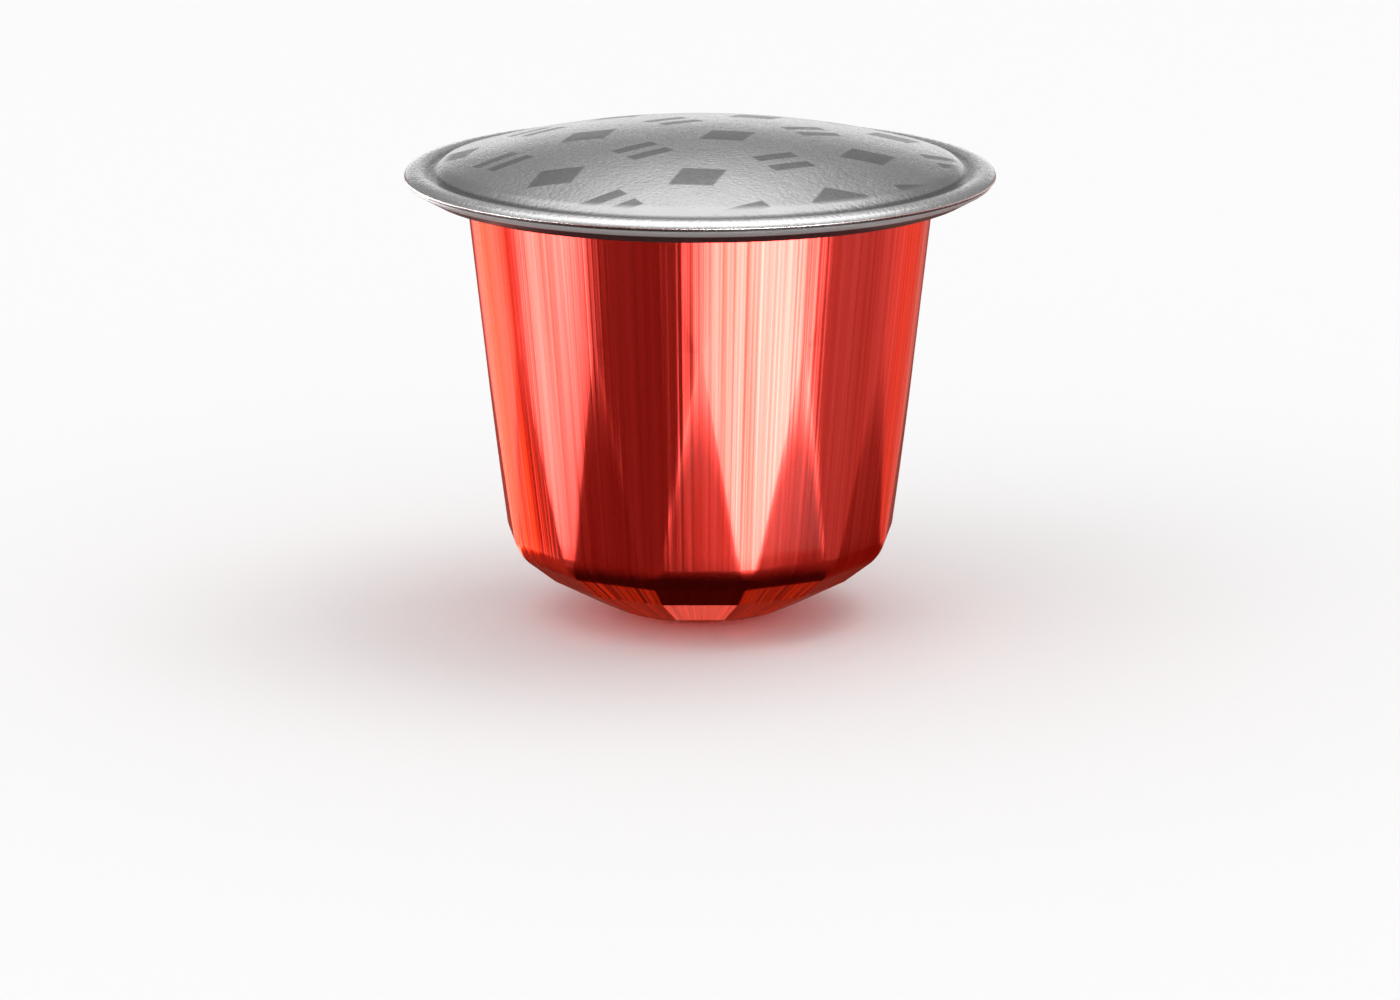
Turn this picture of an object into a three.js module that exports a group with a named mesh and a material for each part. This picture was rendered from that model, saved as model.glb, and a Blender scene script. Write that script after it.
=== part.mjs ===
// Coffee pod: a drawn aluminium cup with flats pressed round its lower wall and nose,
// closed by a domed foil lid that is sealed to the flange and wrapped over the curled rim.
// Millimetres, +Z up. The origin is the centre of the small flat on the nose that it stands on.

import * as THREE from 'three';

// Driving dimensions of the cup
const rimRadius = 18.5;
const rimLevel = 28.0;
const restRadius = 3.5;
const noseSphereRadius = 17.25;
const noseEdgeRadius = 11.45;
const shoulderArcRadius = 2.4;
const wallTaper = THREE.MathUtils.degToRad(6.35);
const flangeThickness = 0.3;
const flangeFillet = 0.5;

// Flats round the wall, which widen downwards and leave narrow rounded ribs between them
const flatCount = 13;
const flatsTopLevel = 19.6;
const ribWidth = 1.8;

// Facets of the nose: an outer and an inner band, which run out into its round tip
const noseFacetInnerRadius = 6.3;
const noseFacetOuterRadius = 9.7;
const noseFacetRunout = 0.7;

// Curled rim: a rolled lip that slopes down and inwards under the flange
const curlInnerRadius = 16.4;
const curlLipRadius = 0.35;
const curlSlope = THREE.MathUtils.degToRad(21.7);

// Foil lid: its outer face, as heights above the widest level of the rim
const foilThickness = 0.1;
const sealHeight = 0.36;
const sealInnerRadius = 16.6;
const sealOuterRadius = 17.0;
const crownInset = 0.9;
const crownHeight = 0.5;
const domeFootRadius = 16.2;
const domeFootHeight = 0.77;
const domeApexHeight = 3.06;

// Clearances: foil to metal where it wraps the rim, and foil to contents under the dome
const wrapClearance = 0.03;
const headspace = 0.3;

// Fineness of the faceted surfaces
const arcSteps = 3;
const shoulderSteps = 5;
const flatLevels = [0.05, 0.15, 0.35, 0.6];
const domeSteps = 4;
const leastColumnAngle = THREE.MathUtils.degToRad(2.2);

const halfPitch = Math.PI / flatCount;

// A station of a profile: radius, height, and how far the flats cut in there.
// depth is the flat's distance from the axis over the radius, so 1 leaves the section round.
function station(radius, height, depth = 1) {
  return { radius, height, depth };
}

// Stations along an arc about a centre in the profile plane, angles from +radius towards +Z
function arc(centreRadius, centreHeight, radius, from, to, steps, depthAt = () => 1) {
  const stations = [];
  for (let i = 0; i <= steps; i += 1) {
    const angle = from + ((to - from) * i) / steps;
    const height = centreHeight + radius * Math.sin(angle);
    stations.push(station(centreRadius + radius * Math.cos(angle), height, depthAt(height)));
  }
  return stations;
}

// Angles of one sector's columns, from one rib centre to the next, which follow the flat's sides
function sectorAngles(depth) {
  const side = THREE.MathUtils.clamp(Math.acos(depth), leastColumnAngle, halfPitch - leastColumnAngle / 2);
  const rib = (side + halfPitch) / 2;
  return [-halfPitch, -rib, -side, 0, side, rib];
}

// The section of the cup at a station: a circle cut by the flats
function ringPoints({ radius, height, depth }) {
  const points = [];
  for (let sector = 0; sector < flatCount; sector += 1) {
    for (const angle of sectorAngles(depth)) {
      const reach = Math.min(radius, (radius * depth) / Math.cos(angle));
      const turn = sector * 2 * halfPitch + angle;
      points.push([reach * Math.sin(turn), -reach * Math.cos(turn), height]);
    }
  }
  return points;
}

// A closed body from a profile that starts on the axis, runs outwards and ends on the axis above
function turnedBody(profile) {
  const rings = profile.slice(1, -1).map(ringPoints);
  const columns = rings[0].length;
  const positions = [[0, 0, profile[0].height], ...rings.flat(), [0, 0, profile.at(-1).height]];
  const last = positions.length - 1;
  const indices = [];
  for (let column = 0; column < columns; column += 1) {
    const next = (column + 1) % columns;
    indices.push(0, 1 + next, 1 + column);
    for (let ring = 0; ring < rings.length - 1; ring += 1) {
      const lower = 1 + ring * columns;
      const upper = lower + columns;
      indices.push(lower + column, lower + next, upper + next);
      indices.push(lower + column, upper + next, upper + column);
    }
    indices.push(last, last - columns + column, last - columns + next);
  }
  const geometry = new THREE.BufferGeometry();
  geometry.setAttribute('position', new THREE.Float32BufferAttribute(positions.flat(), 3));
  geometry.setIndex(indices);
  geometry.computeVertexNormals();
  return geometry;
}

// Nose: a sphere whose tip is flattened to restRadius
const noseCentreLevel = Math.sqrt(noseSphereRadius ** 2 - restRadius ** 2);
const noseLevel = (radius) => noseCentreLevel - Math.sqrt(noseSphereRadius ** 2 - radius ** 2);

// Shoulder: an arc tangent to the nose and to the wall
const noseEdgeAngle = Math.asin(noseEdgeRadius / noseSphereRadius);
const shoulderCentreRadius = noseEdgeRadius - shoulderArcRadius * Math.sin(noseEdgeAngle);
const shoulderCentreLevel = noseLevel(noseEdgeRadius) + shoulderArcRadius * Math.cos(noseEdgeAngle);
const shoulderTopRadius = shoulderCentreRadius + shoulderArcRadius * Math.cos(wallTaper);
const shoulderTopLevel = shoulderCentreLevel - shoulderArcRadius * Math.sin(wallTaper);
const wallRadius = (level) => shoulderTopRadius + (level - shoulderTopLevel) * Math.tan(wallTaper);

// How far the flats cut in: edge to edge on the nose, less up the shoulder, which leaves the ribs
const fullDepth = Math.cos(halfPitch);
const ribDepth = Math.cos(halfPitch - ribWidth / 2 / shoulderTopRadius);
function shoulderDepth(level) {
  const noseEdgeLevel = noseLevel(noseEdgeRadius);
  return THREE.MathUtils.mapLinear(level, noseEdgeLevel, shoulderTopLevel, fullDepth, ribDepth);
}

function noseProfile() {
  const roundRadius = noseFacetInnerRadius - noseFacetRunout;
  return [
    station(0, 0),
    station(restRadius, 0),
    station(roundRadius, noseLevel(roundRadius)),
    station(noseFacetInnerRadius, noseLevel(noseFacetInnerRadius), fullDepth),
    station(noseFacetOuterRadius, noseLevel(noseFacetOuterRadius), fullDepth),
  ];
}

function shoulderProfile() {
  const centre = [shoulderCentreRadius, shoulderCentreLevel];
  const start = noseEdgeAngle - Math.PI / 2;
  return arc(...centre, shoulderArcRadius, start, -wallTaper, shoulderSteps, shoulderDepth);
}

function wallProfile() {
  const stations = [...flatLevels].reverse().map((share) => {
    const level = THREE.MathUtils.lerp(flatsTopLevel, shoulderTopLevel, share);
    return station(wallRadius(level), level, THREE.MathUtils.lerp(1, ribDepth, share));
  });
  return [...stations, station(wallRadius(flatsTopLevel), flatsTopLevel)];
}

// Metal faces under the foil
const seatLevel = rimLevel + sealHeight - foilThickness;
const flangeUnderLevel = seatLevel - flangeThickness;
const metalInset = foilThickness + wrapClearance;
const lipRadius = rimRadius - foilThickness;

function flangeProfile() {
  const filletLevel = flangeUnderLevel - flangeFillet;
  const filletRadius = wallRadius(filletLevel) + flangeFillet;
  const lipCentreRadius = lipRadius - curlLipRadius;
  const innerCentreRadius = curlInnerRadius + curlLipRadius;
  const innerCentreLevel = rimLevel - (lipCentreRadius - innerCentreRadius) * Math.tan(curlSlope);
  const underside = curlSlope - Math.PI / 2;
  return [
    ...arc(filletRadius, filletLevel, flangeFillet, Math.PI, Math.PI / 2, arcSteps - 1),
    station(curlInnerRadius, flangeUnderLevel),
    ...arc(innerCentreRadius, innerCentreLevel, curlLipRadius, -Math.PI, underside, arcSteps),
    ...arc(lipCentreRadius, rimLevel, curlLipRadius, underside, 0, arcSteps),
  ];
}

// The rim's rounded top from its widest level over the crown, set in from the foil's outer face
function crownProfile(inset) {
  const stations = [];
  for (let i = 0; i <= arcSteps; i += 1) {
    const angle = (Math.PI / 2) * (i / arcSteps);
    const radius = rimRadius - crownInset + (crownInset - inset) * Math.cos(angle);
    stations.push(station(radius, rimLevel + (crownHeight - inset) * Math.sin(angle)));
  }
  return stations;
}

// The flat seal ring, and the dome inside it, dropped straight down from the foil's outer face
function sealProfile(drop) {
  const level = rimLevel + sealHeight - drop;
  return [station(sealOuterRadius, level), station(sealInnerRadius, level)];
}

function domeProfile(drop) {
  const rise = domeApexHeight - domeFootHeight;
  const domeSphereRadius = (domeFootRadius ** 2 + rise ** 2) / (2 * rise);
  const centreLevel = rimLevel + domeApexHeight - domeSphereRadius;
  const stations = [];
  for (let i = domeSteps; i >= 0; i -= 1) {
    const radius = (domeFootRadius * i) / domeSteps;
    stations.push(station(radius, centreLevel + Math.sqrt(domeSphereRadius ** 2 - radius ** 2) - drop));
  }
  return stations;
}

// The cup and its contents are one sealed solid, so its top follows the lid under a small headspace
const cupProfile = [
  ...noseProfile(),
  ...shoulderProfile(),
  ...wallProfile(),
  ...flangeProfile(),
  ...crownProfile(metalInset),
  ...sealProfile(foilThickness),
  ...domeProfile(foilThickness + headspace),
];

// The foil's lower face read from the centre out to its cut edge, then its outer face back again
const foilProfile = [
  ...domeProfile(foilThickness).reverse(),
  ...sealProfile(foilThickness).reverse(),
  ...crownProfile(foilThickness).reverse(),
  ...crownProfile(0),
  ...sealProfile(0),
  ...domeProfile(0),
];

const lacquerRed = new THREE.MeshStandardMaterial({ color: 0xb3211a, roughness: 0.3, metalness: 0.9 });
const foilSilver = new THREE.MeshStandardMaterial({ color: 0xa8a8a8, roughness: 0.35, metalness: 0.95 });

const cup = new THREE.Mesh(turnedBody(cupProfile), lacquerRed);
cup.name = 'cup';

const foilLid = new THREE.Mesh(turnedBody(foilProfile), foilSilver);
foilLid.name = 'foil_lid';

const pod = new THREE.Group();
pod.add(cup, foilLid);

export default pod;
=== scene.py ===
import math

import bmesh
import bpy
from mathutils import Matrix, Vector


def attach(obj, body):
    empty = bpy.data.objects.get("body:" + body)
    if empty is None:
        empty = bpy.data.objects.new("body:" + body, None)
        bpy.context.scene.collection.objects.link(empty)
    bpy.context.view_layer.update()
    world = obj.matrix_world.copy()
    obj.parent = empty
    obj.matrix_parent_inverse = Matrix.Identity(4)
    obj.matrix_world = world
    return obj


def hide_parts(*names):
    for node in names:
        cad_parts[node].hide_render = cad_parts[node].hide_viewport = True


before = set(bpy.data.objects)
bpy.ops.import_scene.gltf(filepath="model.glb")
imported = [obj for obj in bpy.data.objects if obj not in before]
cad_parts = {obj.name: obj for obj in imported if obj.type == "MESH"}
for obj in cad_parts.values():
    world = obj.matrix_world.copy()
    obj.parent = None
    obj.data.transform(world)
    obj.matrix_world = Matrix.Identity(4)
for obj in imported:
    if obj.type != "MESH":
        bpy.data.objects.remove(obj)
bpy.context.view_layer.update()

MM = 0.001

# The cup, in millimetres
RIM_RADIUS = 18.496
RIM_LEVEL = 28.0
REST_RADIUS = 3.5
NOSE_SPHERE = 17.25
NOSE_EDGE = 11.45
SHOULDER_ARC = 2.4
WALL_TAPER = math.radians(6.35)
FLANGE_THICKNESS = 0.3
FLANGE_FILLET = 0.5
FLAT_COUNT = 13
FLATS_TOP = 19.6
RIB_WIDTH = 1.1
NOSE_FACET_INNER = 6.3
NOSE_FACET_OUTER = 9.7
NOSE_RUNOUT = 0.7
FLANGE_FLAT_END = 16.0
BARE_LIP_START = 16.3
CURL_INNER = 16.4
CURL_ARC = 0.4
CURL_SLOPE = math.radians(29)

# The foil lid: heights are above the widest level of the rim
FOIL_THICKNESS = 0.1
SEAL_HEIGHT = 0.36
SEAL_INNER = 16.6
SEAL_OUTER = 17.0
CROWN_INSET = 0.9
CROWN_HEIGHT = 0.5
CROWN_FULLNESS = 0.8
DOME_FOOT = 16.2
DOME_FOOT_HEIGHT = 0.77
DOME_APEX = 3.06
WRAP_CLEARANCE = 0.03
HEADSPACE = 0.3

# Fineness of the meshes
COLUMNS_PER_FLAT = 24
CAP_STEPS = 5
SHOULDER_STEPS = 14
FLAT_STEPS = 22
FLAT_STEPS_BUNCHING = 1.6
PLAIN_WALL_STEPS = 6
FILLET_STEPS = 6
LIP_STEPS = 8
CROWN_STEPS = 10
DOME_STEPS = 26
COVERED_CROWN_STEPS = 6
COVERED_DOME_STEPS = 8
MERGE_DISTANCE = 1e-7

# How the columns of the mesh follow the sides of the flats
HALF_PITCH = math.pi / FLAT_COUNT
EVEN_SPREAD = HALF_PITCH * 2 / 3
LEAST_SPREAD = math.radians(1.2)
LEAST_RIB = math.radians(0.7)
SPREAD_EASE = 5
ON_AXIS = 0.0001
FULLY_PRESSED = 0.06

# Edges of the flats that stay crisp
SHARP_EDGE = math.radians(3.5)
CREASES_TOP = 6.5


def mix(a, b, share):
    return a + (b - a) * share


def clamp(value, low, high):
    return max(low, min(high, value))


def grey(level):
    return (level, level, level, 1)


# Materials
class Socket:
    """A shader socket, so that maths on it adds nodes."""

    def __init__(self, shader, link):
        self.shader = shader
        self.link = link

    def maths(self, operation, *values):
        return self.shader.node("ShaderNodeMath", {"operation": operation}, *values)

    def __add__(self, other):
        return self.maths("ADD", self, other)

    def __radd__(self, other):
        return self.maths("ADD", other, self)

    def __sub__(self, other):
        return self.maths("SUBTRACT", self, other)

    def __rsub__(self, other):
        return self.maths("SUBTRACT", other, self)

    def __mul__(self, other):
        return self.maths("MULTIPLY", self, other)

    def __rmul__(self, other):
        return self.maths("MULTIPLY", other, self)

    def __truediv__(self, other):
        return self.maths("DIVIDE", self, other)

    def __pow__(self, other):
        return self.maths("POWER", self, other)

    def size(self):
        return self.maths("ABSOLUTE", self)

    def floor(self):
        return self.maths("FLOOR", self)

    def cycle(self, period):
        return self.maths("FLOORED_MODULO", self, period)

    def share(self):
        """The value kept between 0 and 1."""
        settings = {"operation": "ADD", "use_clamp": True}
        return self.shader.node("ShaderNodeMath", settings, self, 0.0)

    def step(self, start, end):
        """0 before start and 1 after end, with a smooth rise between them."""
        settings = {"interpolation_type": "SMOOTHSTEP"}
        return self.shader.node("ShaderNodeMapRange", settings, Value=self, From_Min=start, From_Max=end)


class Shader:
    """A node tree that is written as expressions."""

    def __init__(self, tree):
        self.tree = tree
        tree.nodes.clear()

    def node(self, kind, settings, *values, **named):
        """A node, its settings, and its sockets in order or by name, as values or links."""
        made = self.tree.nodes.new(kind)
        for name, value in settings.items():
            setattr(made, name, value)
        shown = [socket for socket in made.inputs if socket.enabled]
        by_name = [(made.inputs[name.replace("_", " ")], value) for name, value in named.items()]
        for socket, value in [*zip(shown, values), *by_name]:
            if isinstance(value, Socket):
                self.tree.links.new(value.link, socket)
            else:
                socket.default_value = value
        results = [socket for socket in made.outputs if socket.enabled]
        return Socket(self, results[0]) if results else None

    def other(self, socket, name):
        """Another output of the node that socket comes from."""
        return Socket(self, socket.link.node.outputs[name])

    def split(self, vector):
        parts = self.node("ShaderNodeSeparateXYZ", {}, vector)
        return [self.other(parts, axis) for axis in "XYZ"]

    def join(self, x, y, z):
        return self.node("ShaderNodeCombineXYZ", {}, x, y, z)

    def noise(self, vector, scale, detail=2.0, roughness=0.5):
        sockets = {"Vector": vector, "Scale": scale, "Detail": detail, "Roughness": roughness}
        return self.node("ShaderNodeTexNoise", {}, **sockets)

    def blend(self, share, first, second):
        """One colour blended over another."""
        return self.node("ShaderNodeMix", {"data_type": "RGBA"}, share, first, second)


def new_material(name):
    material = bpy.data.materials.new(name)
    material.use_nodes = True
    return material, Shader(material.node_tree)


def surface(shader, **sockets):
    """The Principled shader of a finish, wired to the output."""
    finish = shader.node("ShaderNodeBsdfPrincipled", {}, **sockets)
    shader.node("ShaderNodeOutputMaterial", {}, Surface=finish)


def object_place(shader):
    coordinates = shader.node("ShaderNodeTexCoord", {})
    return shader.other(coordinates, "Object")


def from_axis(x, y):
    return (x * x + y * y) ** 0.5


def weighted(parts, weights):
    return sum(part * weight for part, weight in zip(parts, weights))


# Drawing streaks up the wall, from fine to broad, in metres
STREAK_WIDTHS = (0.00011, 0.00034, 0.0013)
STREAK_TINTS = (0.3, 0.35, 0.35)
STREAK_HEIGHTS = (0.22, 0.9, 2.2)
STREAK_LENGTH = 0.045
STREAK_DEPTH = 0.000022
STREAK_DETAIL = 1.0
TYPICAL_RADIUS = 0.0135
AXIS_GUARD = 0.0001

# The pressed flats shade as if slightly dished: a little further down, and a little rounder
FLAT_TILT = 0.085
FLAT_ROUNDNESS = 0.45

# Red lacquer
LACQUER_BRIGHT = (0.78, 0.080, 0.066, 1)
LACQUER_DEEP = (0.52, 0.022, 0.012, 1)
LACQUER_SHEEN = (0.85, 0.38, 0.32, 1)
DEEP_SHARE = 0.4
# Painted shade: how much further the pressed flats go towards the darker red
FLATS_PAINTED_SHADE = 0.2
GRAIN_MIDDLE = 0.5
GRAIN_CONTRAST = 3.0
LACQUER_ROUGHNESS = 0.11
FINE_ROUGHNESS = 0.09
MIDDLE_ROUGHNESS = 0.05
COAT = 0.12
COAT_ROUGHNESS = 0.08


def streaks(shader, place, width):
    """Upright streaks round the axis, without a seam."""
    x, y, z = shader.split(place)
    radius = from_axis(x, y) + AXIS_GUARD
    across = TYPICAL_RADIUS / width
    vector = shader.join(x / radius * across, y / radius * across, z / STREAK_LENGTH)
    return shader.noise(vector, 1.0, detail=STREAK_DETAIL)


def dished_normal(shader, place, pressed):
    """The surface's own normal, turned down and rounded where a flat is pressed."""
    geometry = shader.node("ShaderNodeNewGeometry", {})
    x, y, z = shader.split(shader.other(geometry, "Normal"))
    across, along, _ = shader.split(place)
    radius = from_axis(across, along) + AXIS_GUARD
    x = x + across / radius * pressed * FLAT_ROUNDNESS
    y = y + along / radius * pressed * FLAT_ROUNDNESS
    z = z - pressed * (FLAT_TILT + FLAT_ROUNDNESS * math.tan(WALL_TAPER))
    return shader.node("ShaderNodeVectorMath", {"operation": "NORMALIZE"}, shader.join(x, y, z))


def red_lacquer():
    """Translucent red lacquer over drawn aluminium, with painted shade that makes the pressed flats
    deeper red.
    """
    material, shader = new_material("red_lacquer")
    place = object_place(shader)
    layers = [streaks(shader, place, width) for width in STREAK_WIDTHS]
    fine, middle, _ = layers
    attribute = shader.node("ShaderNodeAttribute", {"attribute_name": "pressed"})
    pressed = shader.other(attribute, "Fac")
    grain = weighted(layers, STREAK_TINTS)
    # Streaks give the lacquer real tone; the pressed term adds painted shade on the flats
    deep = (grain - GRAIN_MIDDLE) * GRAIN_CONTRAST + DEEP_SHARE + pressed * FLATS_PAINTED_SHADE
    bump = shader.node(
        "ShaderNodeBump",
        {},
        Strength=1.0,
        Distance=STREAK_DEPTH,
        Height=weighted(layers, STREAK_HEIGHTS),
        Normal=dished_normal(shader, place, pressed),
    )
    surface(
        shader,
        Base_Color=shader.blend(deep.share(), LACQUER_BRIGHT, LACQUER_DEEP),
        Metallic=1.0,
        Roughness=LACQUER_ROUGHNESS + fine * FINE_ROUGHNESS + middle * MIDDLE_ROUGHNESS,
        Specular_Tint=LACQUER_SHEEN,
        Coat_Weight=COAT,
        Coat_Roughness=COAT_ROUGHNESS,
        Normal=bump,
    )
    return material


# The bare lip carries painted shadow in the gap under the foil's cut edge, and painted shade where it
# turns under
LIP_GAP_SHADOW = (0.02786, 0.02791)
LIP_UNDERSIDE_SHADE = (0.02743, 0.02753)
LIP_METAL = (grey(0.38), grey(0.46))
LIP_PAINTED_SHADE = (0.035, 0.033, 0.033, 1)
LIP_METALLIC = 0.35
LIP_ROUGHNESS = 0.3
LIP_GRAIN_ROUGHNESS = 0.12
LIP_GRAIN_SCALE = 2500
LIP_GRAIN_DETAIL = 3
LIP_GRAIN_DEPTH = 0.000006
LIP_GRAIN_STRENGTH = 0.4


def bare_rim():
    """Smooth bare aluminium on the rolled lip, with painted shadow under the foil's cut edge and painted
    shade where it turns under.
    """
    material, shader = new_material("bare_rim")
    place = object_place(shader)
    grain = shader.noise(place, LIP_GRAIN_SCALE, detail=LIP_GRAIN_DETAIL)
    z = shader.split(place)[2]
    # Painted shadow and shade: a near-black band under the foil's edge and on the lip's underside
    dark = z.step(*LIP_GAP_SHADOW) + (1 - z.step(*LIP_UNDERSIDE_SHADE))
    bump = shader.node(
        "ShaderNodeBump",
        {},
        Strength=LIP_GRAIN_STRENGTH,
        Distance=LIP_GRAIN_DEPTH,
        Height=grain,
    )
    surface(
        shader,
        Base_Color=shader.blend(dark, shader.blend(grain, *LIP_METAL), LIP_PAINTED_SHADE),
        Metallic=LIP_METALLIC,
        Roughness=LIP_ROUGHNESS + grain * LIP_GRAIN_ROUGHNESS,
        Normal=bump,
    )
    return material


# Lid print: staggered plain lozenges with pairs of short bars between them, in metres
PRINT_PITCH = 0.0125
PRINT_ROW = PRINT_PITCH / 2
PRINT_START = 0.1
PRINT_TURN = math.radians(-33)
PRINT_EDGE = 0.00012
LOZENGE_HALF = 0.0017
LOZENGE_SLIMNESS = 0.8
BAR_HALF_LENGTH = 0.0014
BAR_HALF_WIDTH = 0.00042
BAR_SPACING = 0.0009

# Lid foil: distances from the axis over which its finish changes, and where painted shade darkens the
# groove, in metres
PRINT_END = (0.0155, 0.0163)
GROOVE_SHADE_START = (0.01642, 0.01658)
GROOVE_SHADE_END = (0.01700, 0.01740)
PALE_CROWN_START = (0.0172, 0.0178)

# Lid foil: colours and grain, and the grey of the painted shade in the groove
FOIL_GREYS = (grey(0.50), grey(0.60))
PALE_CROWN_GREY = grey(0.78)
GROOVE_SHADE_GREY = grey(0.16)
GROOVE_SHADE_COVER = 0.85
INK_GREY = grey(0.20)
INK_COVER = 0.65
INK_GRAIN = 0.5
FOIL_ROUGHNESS = 0.24
GRAIN_ROUGHNESS = 0.08
INK_ROUGHNESS = 0.08
PEEL_SCALE = 3600
PEEL_DETAIL = 2.5
PEEL_ROUGHNESS = 0.6
PEEL_DEPTH = 0.000029
PEEL_ON_RIM = 0.2
BLOTCH_SCALE = 420
BLOTCH_HEIGHT = 0.8


def lid_print(shader, place):
    """1 on the printed motifs and 0 on bare foil."""
    turned = shader.node("ShaderNodeMapping", {}, Vector=place, Rotation=(0, 0, PRINT_TURN))
    x, y, _ = shader.split(turned)
    row = ((y + PRINT_START) / PRINT_ROW).floor()
    shift = row.cycle(2) * PRINT_PITCH / 2
    u = (x + PRINT_START + shift).cycle(PRINT_PITCH) - PRINT_PITCH / 2
    v = (y + PRINT_START).cycle(PRINT_ROW) - PRINT_ROW / 2
    reach = (u.size() * LOZENGE_SLIMNESS + v.size()) / LOZENGE_HALF
    softness = PRINT_EDGE / LOZENGE_HALF
    lozenge = 1 - reach.step(1 - softness, 1 + softness)
    side = PRINT_PITCH / 2 - u.size()
    ends = 1 - side.step(BAR_HALF_LENGTH, BAR_HALF_LENGTH + PRINT_EDGE)
    lane = (v.size() - BAR_SPACING).size()
    bar = 1 - lane.step(BAR_HALF_WIDTH, BAR_HALF_WIDTH + PRINT_EDGE)
    return (lozenge + bar * ends).share()


def lid_foil():
    """Satin foil with orange-peel grain and a dark grey print, a lighter grey over the rim's crown, and
    painted shade in the groove between the dome and the crown.
    """
    material, shader = new_material("lid_foil")
    place = object_place(shader)
    x, y, _ = shader.split(place)
    radius = from_axis(x, y)
    grain = shader.noise(place, PEEL_SCALE, detail=PEEL_DETAIL, roughness=PEEL_ROUGHNESS)
    blotch = shader.noise(place, BLOTCH_SCALE)
    on_rim = radius.step(SEAL_INNER * MM, SEAL_OUTER * MM)
    printed = lid_print(shader, place) * (1 - radius.step(*PRINT_END))
    ink = (printed * (INK_COVER + grain * INK_GRAIN)).share()
    # Painted shade in the groove between the dome and the crown
    groove = radius.step(*GROOVE_SHADE_START) * (1 - radius.step(*GROOVE_SHADE_END))
    foil = shader.blend(blotch, *FOIL_GREYS)
    # A lighter grey over the rim's crown
    pale_crown = shader.blend(radius.step(*PALE_CROWN_START), foil, PALE_CROWN_GREY)
    groove_shaded = shader.blend(groove * GROOVE_SHADE_COVER, pale_crown, GROOVE_SHADE_GREY)
    height = grain * (1 + on_rim * PEEL_ON_RIM) + blotch * BLOTCH_HEIGHT
    surface(
        shader,
        Base_Color=shader.blend(ink, groove_shaded, INK_GREY),
        Metallic=1.0,
        Roughness=FOIL_ROUGHNESS + grain * GRAIN_ROUGHNESS + printed * INK_ROUGHNESS,
        Normal=shader.node("ShaderNodeBump", {}, Strength=1.0, Distance=PEEL_DEPTH, Height=height),
    )
    return material


# Floor: half its width in metres, and its finish
FLOOR_REACH = 3.0
FLOOR_WHITE = grey(0.94)
FLOOR_ROUGHNESS = 0.9


def pale_floor():
    material, shader = new_material("pale_floor")
    surface(shader, Base_Color=FLOOR_WHITE, Roughness=FLOOR_ROUGHNESS)
    return material


# Profiles: points of (radius, height) in millimetres, up the outside and back to the axis
def arc(centre_radius, centre_height, radius, start, end, steps):
    points = []
    for i in range(steps + 1):
        angle = mix(start, end, i / steps)
        out = centre_radius + radius * math.cos(angle)
        up = centre_height + radius * math.sin(angle)
        points.append((out, up))
    return points


NOSE_CENTRE = math.sqrt(NOSE_SPHERE**2 - REST_RADIUS**2)


def nose_level(radius):
    return NOSE_CENTRE - math.sqrt(NOSE_SPHERE**2 - radius**2)


# The shoulder's arc touches the nose and the wall
NOSE_ANGLE = math.asin(NOSE_EDGE / NOSE_SPHERE)
NOSE_EDGE_LEVEL = nose_level(NOSE_EDGE)
SHOULDER_RADIUS = NOSE_EDGE - SHOULDER_ARC * math.sin(NOSE_ANGLE)
SHOULDER_LEVEL = NOSE_EDGE_LEVEL + SHOULDER_ARC * math.cos(NOSE_ANGLE)
WALL_FOOT_RADIUS = SHOULDER_RADIUS + SHOULDER_ARC * math.cos(WALL_TAPER)
WALL_FOOT = SHOULDER_LEVEL - SHOULDER_ARC * math.sin(WALL_TAPER)

# The metal under the foil, and the underside of the flange
SEAT_LEVEL = RIM_LEVEL + SEAL_HEIGHT - FOIL_THICKNESS
FLANGE_UNDERSIDE = SEAT_LEVEL - FLANGE_THICKNESS

# A flat's distance from the axis over the radius: edge to edge on the nose, less where ribs stay
FULL_DEPTH = math.cos(HALF_PITCH)
FLAT_SPREAD = HALF_PITCH - RIB_WIDTH / 2 / WALL_FOOT_RADIUS
RIB_DEPTH = math.cos(FLAT_SPREAD)


def wall_radius(level):
    return WALL_FOOT_RADIUS + (level - WALL_FOOT) * math.tan(WALL_TAPER)


def shoulder_rise(level):
    """0 at the nose's edge and 1 at the foot of the wall."""
    return (level - NOSE_EDGE_LEVEL) / (WALL_FOOT - NOSE_EDGE_LEVEL)


def flat_depth(radius, level):
    """How far the flats cut in at a place on the cup's outside, where 1 leaves it round."""
    if level >= FLATS_TOP:
        return 1.0
    if level > WALL_FOOT:
        return math.cos(FLAT_SPREAD * (FLATS_TOP - level) / (FLATS_TOP - WALL_FOOT))
    if level > NOSE_EDGE_LEVEL:
        return mix(FULL_DEPTH, RIB_DEPTH, shoulder_rise(level))
    runout = (radius - NOSE_FACET_INNER + NOSE_RUNOUT) / NOSE_RUNOUT
    return mix(1.0, FULL_DEPTH, clamp(runout, 0, 1))


def nose_profile():
    rest = [(0, 0), (REST_RADIUS / 2, 0), (REST_RADIUS, 0)]
    round_radius = NOSE_FACET_INNER - NOSE_RUNOUT
    cap = [mix(REST_RADIUS, round_radius, (i + 1) / CAP_STEPS) for i in range(CAP_STEPS)]
    bands = [NOSE_FACET_INNER, NOSE_FACET_OUTER]
    return rest + [(radius, nose_level(radius)) for radius in cap + bands]


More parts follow.
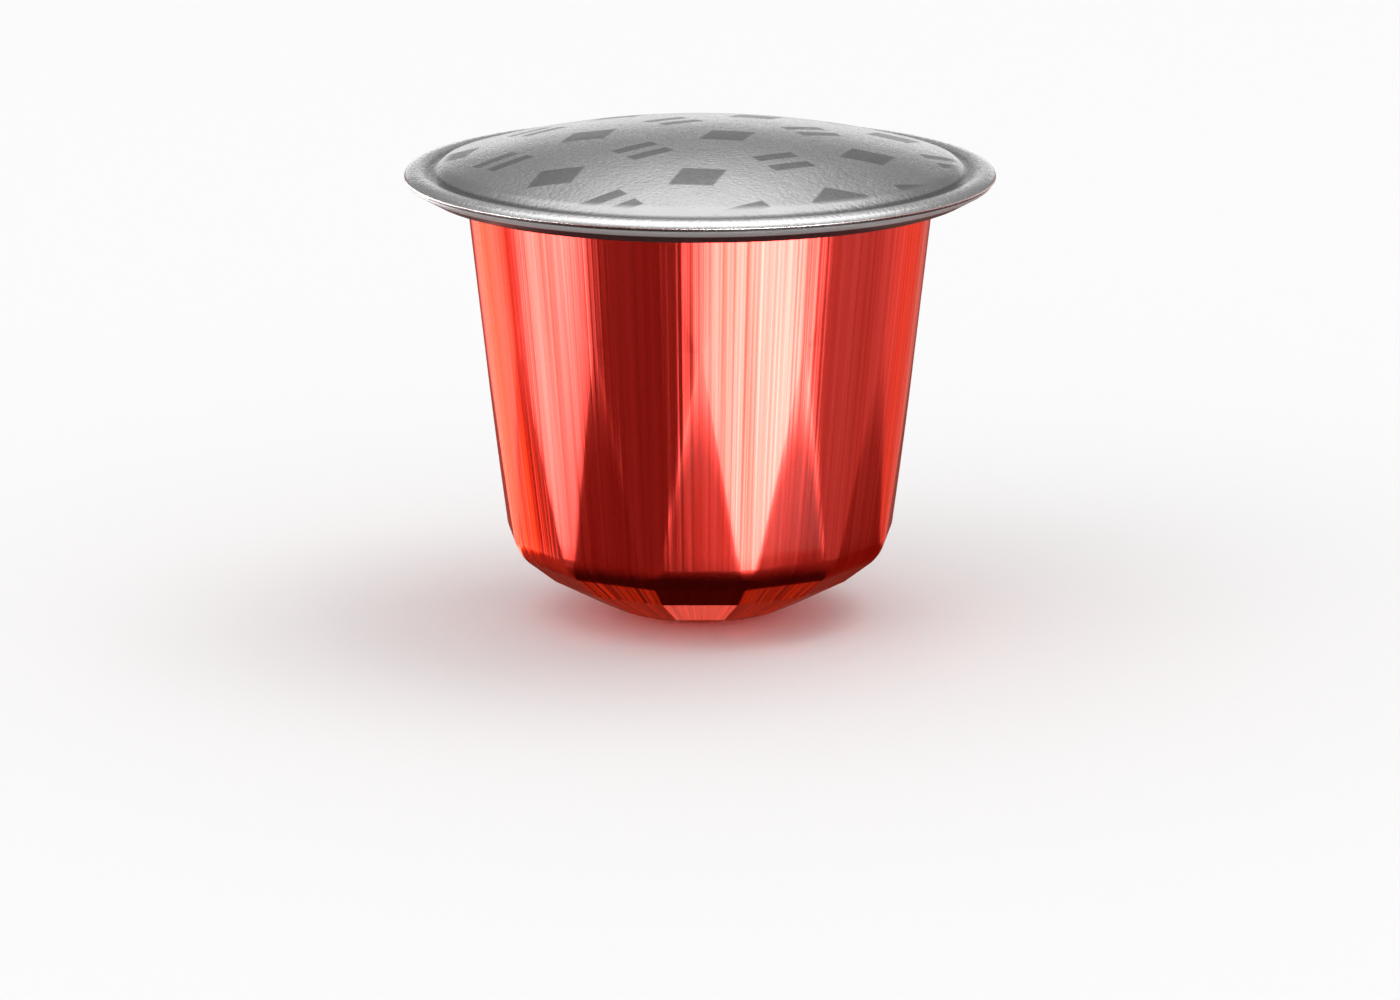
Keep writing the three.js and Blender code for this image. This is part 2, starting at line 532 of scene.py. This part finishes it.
def wall_profile():
    nose_side = NOSE_ANGLE - math.pi / 2
    shoulder = arc(SHOULDER_RADIUS, SHOULDER_LEVEL, SHOULDER_ARC, nose_side, -WALL_TAPER, SHOULDER_STEPS)
    levels = []
    for i in range(1, FLAT_STEPS + 1):
        share = 1 - (1 - i / FLAT_STEPS) ** FLAT_STEPS_BUNCHING
        levels.append(mix(WALL_FOOT, FLATS_TOP, share))
    fillet_level = FLANGE_UNDERSIDE - FLANGE_FILLET
    for i in range(1, PLAIN_WALL_STEPS):
        levels.append(mix(FLATS_TOP, fillet_level, i / PLAIN_WALL_STEPS))
    return shoulder + [(wall_radius(level), level) for level in levels]


def rim_profile():
    fillet_level = FLANGE_UNDERSIDE - FLANGE_FILLET
    fillet_radius = wall_radius(fillet_level) + FLANGE_FILLET
    lip = RIM_RADIUS - FOIL_THICKNESS - CURL_ARC
    inner = CURL_INNER + CURL_ARC
    inner_level = RIM_LEVEL - (lip - inner) * math.tan(CURL_SLOPE)
    slope = CURL_SLOPE - math.pi / 2
    return [
        *arc(fillet_radius, fillet_level, FLANGE_FILLET, math.pi, math.pi / 2, FILLET_STEPS),
        (FLANGE_FLAT_END, FLANGE_UNDERSIDE),
        *arc(inner, inner_level, CURL_ARC, -math.pi, slope, LIP_STEPS),
        *arc(lip, RIM_LEVEL, CURL_ARC, slope, 0, LIP_STEPS),
    ]


def crown_profile(inset, steps):
    points = []
    for i in range(steps + 1):
        angle = math.pi / 2 * i / steps
        out = abs(math.cos(angle)) ** CROWN_FULLNESS
        up = math.sin(angle) ** CROWN_FULLNESS
        radius = RIM_RADIUS - CROWN_INSET + (CROWN_INSET - inset) * out
        points.append((radius, RIM_LEVEL + (CROWN_HEIGHT - inset) * up))
    return points


def seal_profile(drop):
    level = RIM_LEVEL + SEAL_HEIGHT - drop
    return [(SEAL_OUTER, level), ((SEAL_OUTER + SEAL_INNER) / 2, level), (SEAL_INNER, level)]


def dome_profile(drop, steps):
    rise = DOME_APEX - DOME_FOOT_HEIGHT
    sphere = (DOME_FOOT**2 + rise**2) / (2 * rise)
    centre = RIM_LEVEL + DOME_APEX - sphere
    radii = [DOME_FOOT * (steps - i) / steps for i in range(steps + 1)]
    return [(radius, centre + math.sqrt(sphere**2 - radius**2) - drop) for radius in radii]


def turned_mesh(profile):
    """A closed body spun round the axis from a profile that starts and ends on it."""
    shape = bmesh.new()
    points = [shape.verts.new((radius * MM, 0, level * MM)) for radius, level in profile]
    edges = [shape.edges.new(pair) for pair in zip(points, points[1:])]
    bmesh.ops.spin(
        shape,
        geom=points + edges,
        cent=(0, 0, 0),
        axis=(0, 0, 1),
        angle=2 * math.pi,
        steps=FLAT_COUNT * COLUMNS_PER_FLAT,
        use_merge=True,
    )
    bmesh.ops.remove_doubles(shape, verts=shape.verts, dist=MERGE_DISTANCE)
    bmesh.ops.recalc_face_normals(shape, faces=shape.faces)
    for face in shape.faces:
        face.smooth = True
    return shape


def finish_mesh(name, shape, materials):
    mesh = bpy.data.meshes.new(name)
    shape.to_mesh(mesh)
    shape.free()
    for material in materials:
        mesh.materials.append(material)
    piece = bpy.data.objects.new(name, mesh)
    bpy.context.scene.collection.objects.link(piece)
    return piece


# The cup
def flat_spread(depth, level):
    """Half the angle that a flat takes up, kept off nothing and off the whole pitch."""
    if level > FLATS_TOP:
        return mix(LEAST_SPREAD, EVEN_SPREAD, clamp((level - FLATS_TOP) / SPREAD_EASE, 0, 1))
    return clamp(math.acos(clamp(depth, -1, 1)), LEAST_SPREAD, HALF_PITCH - LEAST_RIB)


def section(x, y, depth, spread):
    """Moves a point of a round ring onto the flats' section, with columns along their sides."""
    radius = math.hypot(x, y)
    turn = math.atan2(x, -y)
    sector = round(turn / (2 * HALF_PITCH))
    angle = turn - sector * 2 * HALF_PITCH
    share = min(abs(angle), HALF_PITCH)
    if share <= EVEN_SPREAD:
        moved = share / EVEN_SPREAD * spread
    else:
        moved = mix(spread, HALF_PITCH, (share - EVEN_SPREAD) / (HALF_PITCH - EVEN_SPREAD))
    reach = min(radius, radius * depth / math.cos(moved))
    turn = sector * 2 * HALF_PITCH + math.copysign(moved, angle)
    return reach * math.sin(turn), -reach * math.cos(turn)


def press_flats(shape):
    """Presses the flats into the wall and nose, and marks where they lie."""
    pressed = shape.verts.layers.float.new("pressed")
    for point in shape.verts:
        radius = math.hypot(point.co.x, point.co.y) / MM
        level = point.co.z / MM
        if radius < ON_AXIS or level > FLATS_TOP + SPREAD_EASE:
            continue
        depth = flat_depth(radius, level)
        x, y = section(point.co.x, point.co.y, depth, flat_spread(depth, level))
        drawn_in = radius - math.hypot(x, y) / MM
        point[pressed] = clamp(drawn_in / FULLY_PRESSED, 0, 1) * clamp(shoulder_rise(level), 0, 1)
        point.co.x, point.co.y = x, y


def mark_creases(shape):
    """Keeps the edges of the flats crisp round the nose and shoulder."""
    for edge in shape.edges:
        low = all(point.co.z < CREASES_TOP * MM for point in edge.verts)
        if low and len(edge.link_faces) == 2 and edge.calc_face_angle() > SHARP_EDGE:
            edge.smooth = False


def bare_lip_faces(shape):
    """Gives the second material to the rolled lip, and to the metal that the foil covers there."""
    for face in shape.faces:
        centre = face.calc_center_median()
        if math.hypot(centre.x, centre.y) > BARE_LIP_START * MM:
            face.material_index = 1


def cup_shell():
    profile = [
        *nose_profile(),
        *wall_profile(),
        *rim_profile(),
        *crown_profile(FOIL_THICKNESS + WRAP_CLEARANCE, COVERED_CROWN_STEPS),
        *seal_profile(FOIL_THICKNESS),
        *dome_profile(FOIL_THICKNESS + HEADSPACE, COVERED_DOME_STEPS),
    ]
    shape = turned_mesh(profile)
    press_flats(shape)
    mark_creases(shape)
    bare_lip_faces(shape)
    piece = finish_mesh("cup_shell", shape, [red_lacquer(), bare_rim()])
    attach(piece, "root")
    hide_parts("cup")


# The foil lid
def foil_cover():
    profile = [
        *reversed(dome_profile(FOIL_THICKNESS, DOME_STEPS)),
        *reversed(seal_profile(FOIL_THICKNESS)),
        *reversed(crown_profile(FOIL_THICKNESS, CROWN_STEPS)),
        *crown_profile(0, CROWN_STEPS),
        *seal_profile(0),
        *dome_profile(0, DOME_STEPS),
    ]
    piece = finish_mesh("foil_cover", turned_mesh(profile), [lid_foil()])
    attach(piece, "root")
    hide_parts("foil_lid")


# Studio
def floor():
    shape = bmesh.new()
    bmesh.ops.create_grid(shape, x_segments=1, y_segments=1, size=FLOOR_REACH)
    piece = finish_mesh("floor", shape, [pale_floor()])
    piece.visible_glossy = False


# Panels that show only in the metal. Each is (start, end, softness) in degrees round the pod,
# from the camera's side to the right, (low, high, softness) in degrees up, and its strength.
ALL_ROUND = (-180, 180, 0)
WALL_PANELS = (
    ((0, 60, 10), (-27.8, -19, 1.3), 12.0),
    ((-104, -62, 9), (-22.6, -12, 1.3), 6.5),
    ((-158, -118, 8), (-20, -8, 2.5), 3.5),
    ((64, 118, 8), (-25, -12, 2), 0.36),
    ((118, 162, 8), (-20, -8, 2.5), 0.9),
    ((-4, 52, 12), (-40, -29, 3), 0.65),
    ((-150, -85, 10), (-40, -29, 3), 0.2),
    ((198, 238, 8), (-27.8, -21, 1.3), 5.0),
    ((160, 200, 8), (-50, -41, 1.5), 1.3),
    ((-120, 120, 8), (-17, -4, 4), 0.4),
)
LID_PANELS = (
    ((164, 196, 8), (-1, 7, 3), 1.8),
    ((170, 190, 5), (32, 48, 4), 1.1),
    (ALL_ROUND, (47, 100, 4), 1.1),
    ((-100, 100, 12), (20, 47, 6), 0.5),
)
TURN = 2 * math.pi

# Levels in the metal above and below the horizon, and the plain level that lights the rest
ROOM_ABOVE = 0.27
ROOM_BELOW = 0.27
PLAIN_LEVEL = 0.84
RED_BOUNCE = (1.0, 0.32, 0.24, 1)
HORIZON = (math.radians(-8), 0.0)
BOUNCE_FADE = (math.radians(-62), math.radians(-36))
BOUNCE_UNDER_POD = 0.16


def panel(direction, elevation, sides, heights):
    """1 inside a soft-edged panel of the studio."""
    low, high, blur = [math.radians(angle) for angle in heights]
    rise = elevation.step(low - blur, low + blur)
    inside = rise * (1 - elevation.step(high - blur, high + blur))
    if sides == ALL_ROUND:
        return inside
    start, end, soft = [math.radians(angle) for angle in sides]
    middle = (start + end) / 2
    half = (end - start) / 2
    away = ((direction - middle + 1.5 * TURN).cycle(TURN) - TURN / 2).size()
    return inside * (1 - away.step(half - soft, half + soft))


def studio():
    """Soft even light for the room, and panels round it that show only in the metal."""
    world = bpy.data.worlds.new("studio")
    world.use_nodes = True
    world.cycles.sampling_method = "NONE"
    bpy.context.scene.world = world
    shader = Shader(world.node_tree)
    place = shader.other(shader.node("ShaderNodeTexCoord", {}), "Generated")
    x, y, z = shader.split(place)
    direction = shader.node("ShaderNodeMath", {"operation": "ARCTAN2"}, x, 0 - y)
    elevation = shader.node("ShaderNodeMath", {"operation": "ARCSINE"}, z)
    above = elevation.step(*HORIZON)
    white = above * ROOM_ABOVE
    for sides, heights, strength in WALL_PANELS + LID_PANELS:
        white = white + panel(direction, elevation, sides, heights) * strength
    bounce = elevation.step(*BOUNCE_FADE) * (1 - BOUNCE_UNDER_POD) + BOUNCE_UNDER_POD
    red = (1 - above) * bounce * ROOM_BELOW
    in_metal = shader.other(shader.node("ShaderNodeLightPath", {}), "Is Glossy Ray")
    white_level = PLAIN_LEVEL * (1 - in_metal) + white * in_metal
    white_light = shader.node("ShaderNodeBackground", {}, Color=grey(1.0), Strength=white_level)
    red_light = shader.node("ShaderNodeBackground", {}, Color=RED_BOUNCE, Strength=red * in_metal)
    light = shader.node("ShaderNodeAddShader", {}, white_light, red_light)
    shader.node("ShaderNodeOutputWorld", {}, Surface=light)


# Softboxes: place and size in metres, and power in watts
KEY_SOFTBOX = ((1.0, 0.4, 2.6), 1.8, 14.0)
FILL_SOFTBOX = ((-1.6, -1.2, 1.8), 2.0, 8.0)
LAMP_AIM = (0, 0, 0.015)


def lamp(name, place, size, power):
    """A large softbox that faces the pod and doesn't show in the metal."""
    data = bpy.data.lights.new(name, "AREA")
    data.shape = "RECTANGLE"
    data.size = size
    data.size_y = size
    data.energy = power
    piece = bpy.data.objects.new(name, data)
    piece.location = place
    aim = Vector(LAMP_AIM) - Vector(place)
    piece.rotation_euler = aim.to_track_quat("-Z", "Y").to_euler()
    piece.visible_glossy = False
    bpy.context.scene.collection.objects.link(piece)


# The camera stands where the photograph's did
CAMERA_DISTANCE = 0.382
CAMERA_ELEVATION = math.radians(12.16)
CAMERA_AIM = 0.016
CAMERA_LENS = 156
CAMERA_SHIFT_Y = -0.0984
CAMERA_CLIP = 0.01


def camera():
    data = bpy.data.cameras.new("camera")
    data.lens = CAMERA_LENS
    data.shift_y = CAMERA_SHIFT_Y
    data.clip_start = CAMERA_CLIP
    piece = bpy.data.objects.new("camera", data)
    back = CAMERA_DISTANCE * math.cos(CAMERA_ELEVATION)
    up = CAMERA_DISTANCE * math.sin(CAMERA_ELEVATION)
    piece.location = (0, -back, CAMERA_AIM + up)
    piece.rotation_euler = (math.pi / 2 - CAMERA_ELEVATION, 0, 0)
    bpy.context.scene.collection.objects.link(piece)
    bpy.context.scene.camera = piece


camera()
cup_shell()
foil_cover()
floor()
studio()
lamp("key_softbox", *KEY_SOFTBOX)
lamp("fill_softbox", *FILL_SOFTBOX)
bpy.context.scene.view_settings.view_transform = "Standard"

bpy.context.view_layer.update()
